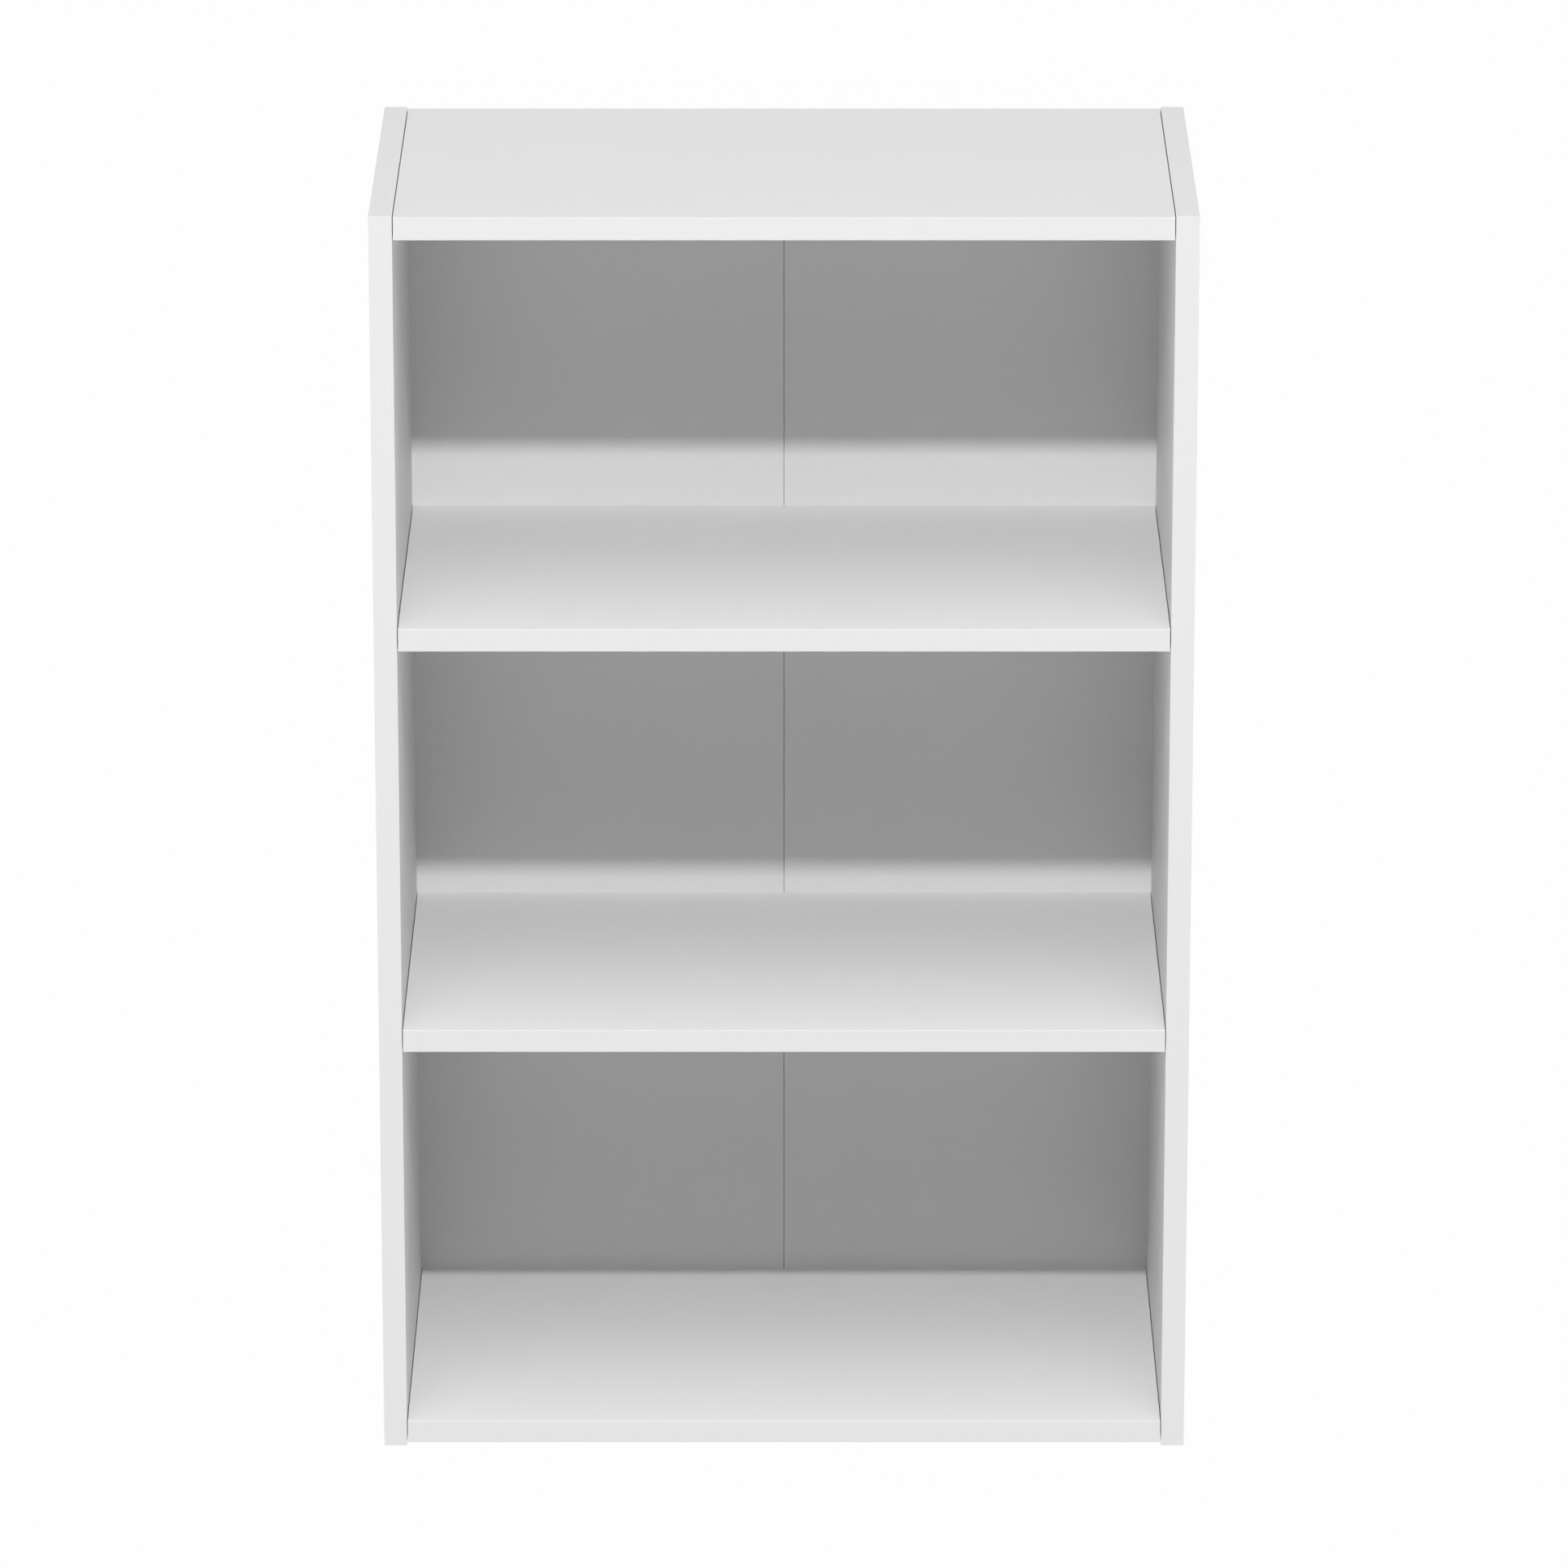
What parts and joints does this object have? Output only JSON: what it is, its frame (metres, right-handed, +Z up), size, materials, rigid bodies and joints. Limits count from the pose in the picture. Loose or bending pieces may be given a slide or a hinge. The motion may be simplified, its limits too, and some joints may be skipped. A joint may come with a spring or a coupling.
{
  "type": "bookcase",
  "caption": "Narrow open bookcase: flat side boards, fixed flush shelves, a top panel set just below the side tops, and a two-leaf hardboard back.",
  "frame": {"origin": "on the floor, under the middle of the case's width and depth", "axes": "+Z up along the height, -Y out of the open front, +X to the right as seen from the front"},
  "size_m": [0.56, 0.3, 0.89],
  "materials": {
    "board": "white melamine on chipboard, satin, no grain; raw chipboard on the rear and bottom edges",
    "edging": "white edging strip, eased arrises",
    "hardboard": "white lacquered front, bare brown rear",
    "tape": "brown kraft paper tape",
    "bolt": "zinc plated steel",
    "cam": "bare zinc die casting",
    "dowel": "bare beech",
    "nail": "bright steel"
  },
  "bodies": {
    "root": {"left_side": "board", "right_side": "board", "top_panel": "board", "upper_shelf": "board", "lower_shelf": "board", "bottom_shelf": "board", "left_side_front_edging": "edging", "right_side_front_edging": "edging", "left_side_top_edging": "edging", "right_side_top_edging": "edging", "top_panel_edging": "edging", "upper_shelf_edging": "edging", "lower_shelf_edging": "edging", "bottom_shelf_edging": "edging", "back_leaf_left": "hardboard", "back_leaf_right": "hardboard", "back_fold_tape": "tape", "top_panel_cam_bolts": "bolt", "upper_shelf_cam_bolts": "bolt", "lower_shelf_cam_bolts": "bolt", "bottom_shelf_cam_bolts": "bolt", "top_panel_cams": "cam", "upper_shelf_cams": "cam", "lower_shelf_cams": "cam", "bottom_shelf_cams": "cam", "top_panel_dowels": "dowel", "upper_shelf_dowels": "dowel", "lower_shelf_dowels": "dowel", "bottom_shelf_dowels": "dowel", "left_side_nails": "nail", "right_side_nails": "nail", "top_panel_nails": "nail", "upper_shelf_nails": "nail", "lower_shelf_nails": "nail", "bottom_shelf_nails": "nail"}
  },
  "joints": []
}
